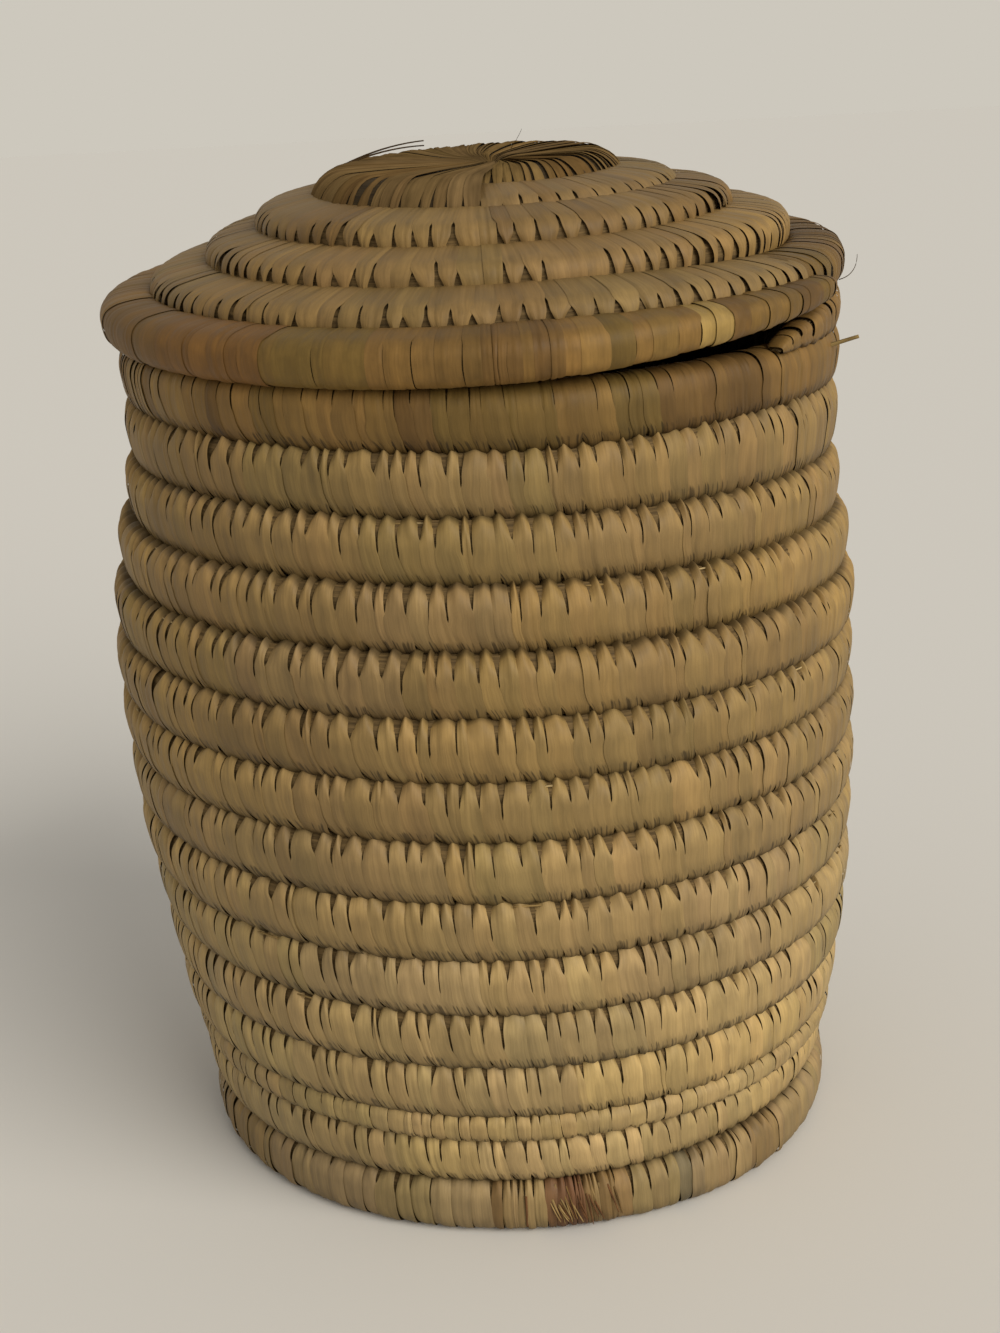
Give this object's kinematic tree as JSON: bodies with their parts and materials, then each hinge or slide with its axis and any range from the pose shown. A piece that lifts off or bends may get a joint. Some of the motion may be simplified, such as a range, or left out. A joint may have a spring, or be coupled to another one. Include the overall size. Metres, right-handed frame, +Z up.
{
  "type": "lidded coil basket",
  "caption": "Tall round coil basket with a bulging wall and a loose domed lid, wound from grass bundles bound with palm leaf, to store or carry things in.",
  "frame": {"origin": "on the floor under the middle of the basket", "axes": "+Z up along the basket's axis, -Y to the front with the rim's free end at the front right"},
  "size_m": [0.351, 0.3522, 0.4653],
  "materials": {
    "leaf_tan": "satin dried palm leaf wrapped on a grass bundle",
    "leaf_gold": "satin dried palm leaf wrapped on a grass bundle",
    "leaf_brown": "smooth broad palm leaf wraps with a slight gloss",
    "leaf_grey": "dull weathered palm leaf wraps"
  },
  "bodies": {
    "basket": {"base_centre": "leaf_tan", "base_coil": "leaf_tan", "foot_coil": "leaf_grey", "wall_coil": "leaf_gold", "rim_coil": "leaf_tan"},
    "lid": {"lid_crown": "leaf_tan", "lid_coil": "leaf_gold", "lid_rim_coil": "leaf_brown"}
  },
  "joints": [
    {"name": "lid_lift", "type": "slide", "parent": "basket", "child": "lid", "axis": [0, 0, 1], "range_m": [0, 0.25]}
  ]
}
